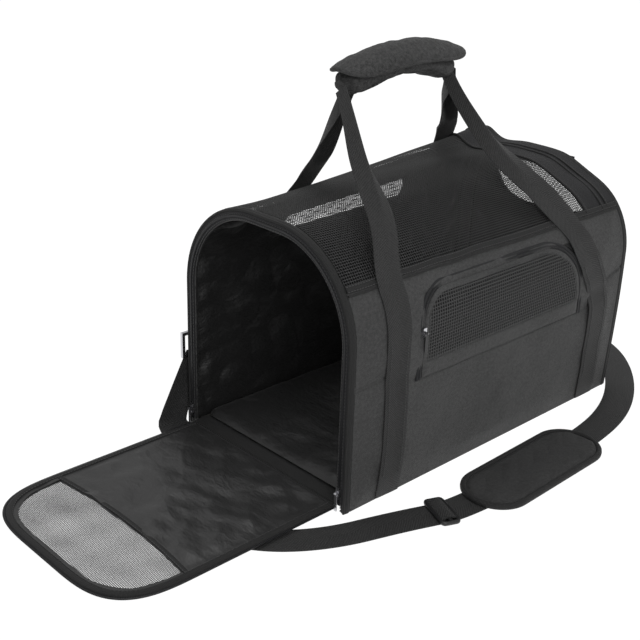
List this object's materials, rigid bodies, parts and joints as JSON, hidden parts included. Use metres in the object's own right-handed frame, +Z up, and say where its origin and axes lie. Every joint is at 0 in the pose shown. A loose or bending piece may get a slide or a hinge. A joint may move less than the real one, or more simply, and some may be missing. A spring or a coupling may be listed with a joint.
{
  "type": "pet carrier bag",
  "caption": "Soft-sided pet carrier with an arched section, mesh roof, fold-down zipped end doors, side pockets, padded carry grip and a detachable shoulder strap.",
  "frame": {"origin": "centre of the bag's base, on the surface it stands on", "axes": "+X along the bag towards the shut rear door, the open front door at -X; +Y towards the left side; +Z up"},
  "size_m": [0.9058, 0.3992, 0.462],
  "materials": {
    "shell_fabric": "charcoal woven polyester",
    "base_fabric": "charcoal woven polyester",
    "lining_fabric": "black lining cloth with a slight sheen",
    "mesh": "open black mesh",
    "door_mesh": "fine grey mesh",
    "binding_tape": "folded black edge tape",
    "zip_tape": "black zip tape with a nylon coil",
    "webbing": "ribbed dark grey webbing",
    "grip_fabric": "padded charcoal cloth",
    "pad_fabric": "quilted charcoal cloth",
    "slider_metal": "plated zinc",
    "pull_metal": "black lacquer",
    "ring_metal": "nickel plated",
    "spring_steel": "blued spring wire",
    "plastic": "black moulded nylon",
    "board": "stiff black plastic board",
    "floor_pad_fabric": "soft dark plush"
  },
  "bodies": {
    "root": {"bottom_panel": "base_fabric", "base_board": "board", "floor_pad": "floor_pad_fabric", "top_mesh": "mesh", "grip_saddle": "grip_fabric", "shoulder_strap": "webbing", "right_side_panel": "shell_fabric", "right_vent_mesh": "mesh", "right_seam_tape": "binding_tape", "right_pocket_zip_track": "zip_tape", "right_carry_strap": "webbing", "left_side_panel": "shell_fabric", "left_vent_mesh": "mesh", "left_seam_tape": "binding_tape", "left_pocket_zip_track": "zip_tape", "left_carry_strap": "webbing", "front_binding": "binding_tape", "front_hoop_wire": "spring_steel", "front_facing": "lining_fabric", "front_zip_track": "zip_tape", "front_hinge_tape": "binding_tape", "front_ring_tab": "webbing", "front_d_ring": "ring_metal", "front_hook": "ring_metal", "rear_binding": "binding_tape", "rear_hoop_wire": "spring_steel", "rear_facing": "lining_fabric", "rear_zip_track": "zip_tape", "rear_hinge_tape": "binding_tape", "rear_ring_tab": "webbing", "rear_d_ring": "ring_metal", "rear_hook": "ring_metal"},
    "grip_cover": {"grip_cover": "grip_fabric"},
    "shoulder_pad": {"shoulder_pad": "pad_fabric"},
    "strap_adjuster": {"strap_adjuster": "plastic"},
    "right_pocket": {"right_pocket_flap": "shell_fabric", "right_pocket_mesh": "mesh"},
    "right_pocket_slider": {"right_pocket_slider": "slider_metal"},
    "right_pocket_pull": {"right_pocket_slider_pull": "pull_metal"},
    "left_pocket": {"left_pocket_flap": "shell_fabric", "left_pocket_mesh": "mesh"},
    "left_pocket_slider": {"left_pocket_slider": "slider_metal"},
    "left_pocket_pull": {"left_pocket_slider_pull": "pull_metal"},
    "front_door": {"front_door_zip_tape": "zip_tape", "front_door_binding": "binding_tape", "front_door_panel": "lining_fabric", "front_door_mesh": "door_mesh"},
    "front_right_slider": {"front_right_slider": "slider_metal"},
    "front_right_pull": {"front_right_slider_pull": "slider_metal"},
    "front_left_slider": {"front_left_slider": "slider_metal"},
    "front_left_pull": {"front_left_slider_pull": "slider_metal"},
    "rear_door": {"rear_door_zip_tape": "zip_tape", "rear_door_binding": "binding_tape", "rear_door_panel": "shell_fabric", "rear_door_mesh": "mesh"},
    "rear_right_slider": {"rear_right_slider": "slider_metal"},
    "rear_right_pull": {"rear_right_slider_pull": "slider_metal"},
    "rear_left_slider": {"rear_left_slider": "slider_metal"},
    "rear_left_pull": {"rear_left_slider_pull": "slider_metal"}
  },
  "joints": [
    {"name": "front_door_fold", "type": "hinge", "parent": "root", "child": "front_door", "pos_m": [-0.246, 0, 0.0055], "axis": [0, 1, 0], "range_deg": [0, 90]},
    {"name": "rear_door_fold", "type": "hinge", "parent": "root", "child": "rear_door", "pos_m": [0.246, 0, 0.0055], "axis": [0, 1, 0], "range_deg": [0, 90]},
    {"name": "right_pocket_fold", "type": "hinge", "parent": "root", "child": "right_pocket", "pos_m": [0.007, -0.13655, 0.128], "axis": [1, 0, 0], "range_deg": [0, 100]},
    {"name": "right_pocket_zip", "type": "slide", "parent": "root", "child": "right_pocket_slider", "axis": [0, 0, -1], "range_m": [0, 0.028]},
    {"name": "right_pocket_pull_swing", "type": "hinge", "parent": "right_pocket_slider", "child": "right_pocket_pull", "pos_m": [-0.1385, -0.1417, 0.183], "axis": [-1, 0, 0], "range_deg": [0, 120]},
    {"name": "front_right_zip", "type": "slide", "parent": "root", "child": "front_right_slider", "axis": [0, 0, 1], "range_m": [0, 0.15]},
    {"name": "front_right_pull_swing", "type": "hinge", "parent": "front_right_slider", "child": "front_right_pull", "pos_m": [-0.2499, -0.127, 0.024], "axis": [0, 1, 0], "range_deg": [0, 120]},
    {"name": "rear_right_zip", "type": "hinge", "parent": "root", "child": "rear_right_slider", "pos_m": [0.2432, -0.023, 0.186], "axis": [1, 0, 0], "range_deg": [0, 90]},
    {"name": "rear_right_pull_swing", "type": "hinge", "parent": "rear_right_slider", "child": "rear_right_pull", "pos_m": [0.2499, -0.023, 0.29], "axis": [0, 0, 1], "range_deg": [0, 120]},
    {"name": "left_pocket_fold", "type": "hinge", "parent": "root", "child": "left_pocket", "pos_m": [-0.007, 0.13655, 0.128], "axis": [-1, 0, 0], "range_deg": [0, 100]},
    {"name": "left_pocket_zip", "type": "slide", "parent": "root", "child": "left_pocket_slider", "axis": [0, 0, -1], "range_m": [0, 0.028]},
    {"name": "left_pocket_pull_swing", "type": "hinge", "parent": "left_pocket_slider", "child": "left_pocket_pull", "pos_m": [0.1385, 0.1417, 0.183], "axis": [1, 0, 0], "range_deg": [0, 120]},
    {"name": "front_left_zip", "type": "slide", "parent": "root", "child": "front_left_slider", "axis": [0, 0, 1], "range_m": [0, 0.15]},
    {"name": "front_left_pull_swing", "type": "hinge", "parent": "front_left_slider", "child": "front_left_pull", "pos_m": [-0.2499, 0.127, 0.024], "axis": [0, 1, 0], "range_deg": [0, 120]},
    {"name": "rear_left_zip", "type": "hinge", "parent": "root", "child": "rear_left_slider", "pos_m": [0.2432, 0.023, 0.186], "axis": [-1, 0, 0], "range_deg": [0, 90]},
    {"name": "rear_left_pull_swing", "type": "hinge", "parent": "rear_left_slider", "child": "rear_left_pull", "pos_m": [0.2499, 0.023, 0.29], "axis": [0, 0, -1], "range_deg": [0, 120]},
    {"name": "grip_cover_lift", "type": "hinge", "parent": "root", "child": "grip_cover", "pos_m": [-0.045, -0.0216, 0.462], "axis": [-1, 0, 0], "range_deg": [0, 100]},
    {"name": "shoulder_pad_slide", "type": "slide", "parent": "root", "child": "shoulder_pad", "axis": [0.9998, 0.0219, 0], "range_m": [-0.008, 0.008]},
    {"name": "adjuster_slide", "type": "slide", "parent": "root", "child": "strap_adjuster", "axis": [0.9239, -0.3827, 0], "range_m": [-0.012, 0]}
  ]
}
